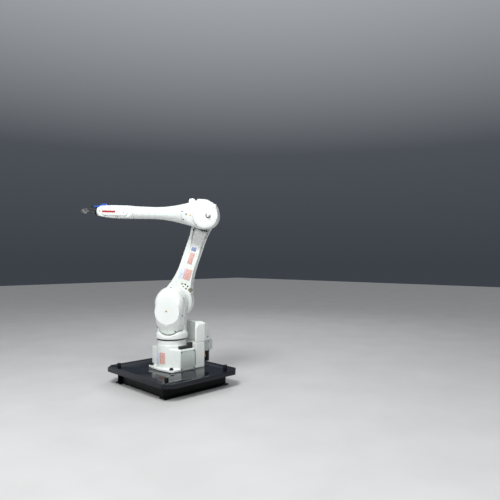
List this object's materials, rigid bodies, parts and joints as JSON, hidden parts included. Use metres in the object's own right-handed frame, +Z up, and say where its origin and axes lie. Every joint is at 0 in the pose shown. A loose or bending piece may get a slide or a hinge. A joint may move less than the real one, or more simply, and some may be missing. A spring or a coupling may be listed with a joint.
{
  "type": "six-axis robot arm",
  "caption": "White six-axis jointed robot arm with a two-finger gripper, bolted to a low black pedestal plate on a channel frame.",
  "frame": {"origin": "on the floor under the middle of the pedestal, below the first joint's axis", "axes": "+Z up, +X out of the front of the base (the label side), +Y to the base's left"},
  "size_m": [0.7129, 0.9182, 1.2441],
  "materials": {
    "black_gloss_steel": "gloss",
    "black_steel": "satin",
    "black_fastener": "black oxide",
    "white_casting": "gloss paint",
    "white_cover": "gloss paint",
    "grey_cover": "satin paint",
    "zinc_screw": "satin",
    "label_film": "satin film",
    "red_film": "satin film",
    "black_rubber": "matte",
    "black_plastic": "satin",
    "brass": "satin",
    "motor_black": "satin",
    "reducer_steel": "machined",
    "white_plastic": "gloss",
    "jaw_steel": "machined",
    "gripper_grey": "anodised",
    "blue_tube": "gloss"
  },
  "bodies": {
    "base": {"pedestal_plate": "black_gloss_steel", "frame_beam_front": "black_steel", "frame_beam_back": "black_steel", "frame_beam_left": "black_steel", "frame_beam_right": "black_steel", "frame_cross_beam": "black_steel", "plate_bolts": "black_fastener", "base_casting": "white_casting", "foot_bolts": "black_fastener", "side_cover_left": "grey_cover", "side_cover_right": "grey_cover", "side_cover_screws": "zinc_screw", "base_label": "label_film", "stop_block": "black_rubber", "harness_housing": "white_casting", "rear_box_covers": "grey_cover", "rear_connectors": "black_plastic", "air_fittings": "brass", "jt1_motor": "motor_black", "jt1_reducer": "reducer_steel", "swivel_seal": "black_rubber"},
    "swivel": {"swivel_casting": "white_casting", "shoulder_cover": "white_cover", "shoulder_cover_screws": "zinc_screw", "shoulder_plug": "brass", "jt2_motor": "motor_black", "jt2_reducer": "reducer_steel", "shoulder_seal": "black_rubber"},
    "lower_arm": {"lower_arm_casting": "white_casting", "arm_end_caps": "white_casting", "arm_labels": "label_film", "arm_port_plugs": "brass", "jt3_reducer": "reducer_steel"},
    "elbow": {"elbow_housing": "white_casting", "elbow_cap": "white_cover", "breather_ring": "black_rubber", "breather_plug": "white_plastic", "jt3_motor": "motor_black", "jt4_motor": "motor_black", "jt4_reducer": "reducer_steel"},
    "forearm": {"forearm_tube": "white_casting", "wrist_fork": "white_casting", "wrist_cover_near": "white_cover", "wrist_cover_far": "white_cover", "accent_strip": "red_film", "jt5_motor": "motor_black", "jt6_motor": "motor_black"},
    "wrist": {"wrist_knuckle": "white_casting", "knuckle_fitting": "black_plastic", "air_tube": "blue_tube"},
    "tool": {"tool_flange": "black_fastener", "gripper_adapter": "black_fastener", "gripper_body": "gripper_grey", "gripper_fitting": "black_plastic"},
    "left_jaw": {"jaw_left": "jaw_steel"},
    "right_jaw": {"jaw_right": "jaw_steel"}
  },
  "joints": [
    {"name": "joint_1", "type": "hinge", "parent": "base", "child": "swivel", "pos_m": [0, 0, 0.107], "axis": [0, 0, 1], "range_deg": [-126, 234]},
    {"name": "joint_2", "type": "hinge", "parent": "swivel", "child": "lower_arm", "pos_m": [0, 0, 0.547], "axis": [0.809, 0.5878, 0], "range_deg": [-70, 75]},
    {"name": "joint_3", "type": "hinge", "parent": "lower_arm", "child": "elbow", "pos_m": [-0.1196, 0.16462, 1.13795], "axis": [-0.809, -0.5878, 0], "range_deg": [-52, 130]},
    {"name": "joint_4", "type": "hinge", "parent": "elbow", "child": "forearm", "pos_m": [-0.1196, 0.16462, 1.13795], "axis": [0.5872, -0.8082, 0.0436], "range_deg": [-270, 270]},
    {"name": "joint_5", "type": "hinge", "parent": "forearm", "child": "wrist", "pos_m": [0.28558, -0.39307, 1.16805], "axis": [0.809, 0.5878, 0], "range_deg": [-120, 120]},
    {"name": "joint_6", "type": "hinge", "parent": "wrist", "child": "tool", "pos_m": [0.28558, -0.39307, 1.16805], "axis": [0.5872, -0.8082, 0.0436], "range_deg": [-180, 180], "deforming": ["air_tube"]},
    {"name": "jaw_left_slide", "type": "slide", "parent": "tool", "child": "left_jaw", "axis": [-0.809, -0.5878, 0], "range_m": [0, 0.011]},
    {"name": "jaw_right_slide", "type": "slide", "parent": "tool", "child": "right_jaw", "axis": [0.809, 0.5878, 0], "range_m": [0, 0.011]}
  ],
  "couplings": [
    {"joint": "jaw_right_slide", "follows": "jaw_left_slide", "ratio": 1}
  ]
}
